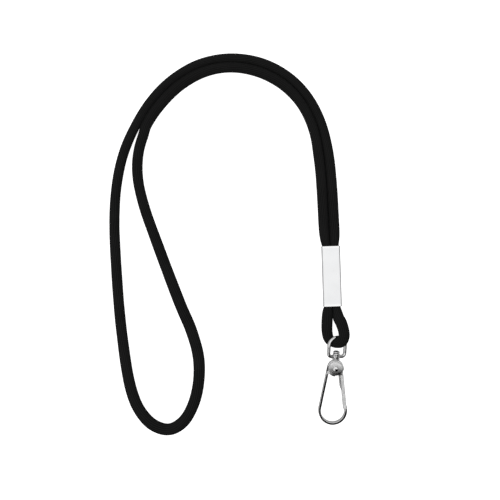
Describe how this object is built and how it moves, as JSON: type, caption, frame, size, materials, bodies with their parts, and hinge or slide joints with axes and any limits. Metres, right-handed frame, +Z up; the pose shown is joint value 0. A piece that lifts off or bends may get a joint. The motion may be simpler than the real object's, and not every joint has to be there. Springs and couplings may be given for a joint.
{
  "type": "neck lanyard",
  "caption": "Round cord neck lanyard with a flat metal crimp sleeve, a swivel eye and a spring gate snap hook, laid out flat.",
  "frame": {"origin": "bottom centre of the box around the metal hardware (crimp sleeve and clip), on the table that the lanyard lies on", "axes": "+Y from the hook up along the clip and the sleeve, +Z up from the table, +X to the right seen from above with the hook at the bottom"},
  "size_m": [0.1384, 0.2209, 0.0132],
  "materials": {
    "cord": "black tubular polyester cord, fine lengthwise ribs, matt",
    "sleeve": "nickel plated sheet, satin",
    "plated": "bright nickel plated casting, polished",
    "spring_wire": "bright drawn spring wire"
  },
  "bodies": {
    "root": {"cord_neck_loop": "cord", "cord_eye_loop": "cord", "cord_through_sleeve": "cord", "cord_end_from_neck": "cord", "cord_end_from_eye": "cord", "crimp_sleeve": "sleeve"},
    "eye": {"swivel_eye": "plated"},
    "hook": {"swivel_stud": "plated", "swivel_washer": "plated", "hook_body": "plated", "gate_rivet": "plated"},
    "gate": {"gate": "plated", "gate_spring": "spring_wire"}
  },
  "joints": [
    {"name": "eye_swing", "type": "hinge", "parent": "root", "child": "eye", "pos_m": [0.0025, -0.0049, 0.0061], "axis": [0, 0, 1], "range_deg": [-10, 10]},
    {"name": "hook_swivel", "type": "hinge", "parent": "eye", "child": "hook", "pos_m": [0.00143, -0.01863, 0.00495], "axis": [0.0573, 0.9937, 0.0958], "continuous": true},
    {"name": "gate_hinge", "type": "hinge", "parent": "hook", "child": "gate", "pos_m": [0.00143, -0.01863, 0.00495], "axis": [0.0055, 0.0957, -0.9954], "range_deg": [0, 25], "stiffness_Nm_per_rad": 0.05, "springref_deg": -17.19}
  ]
}
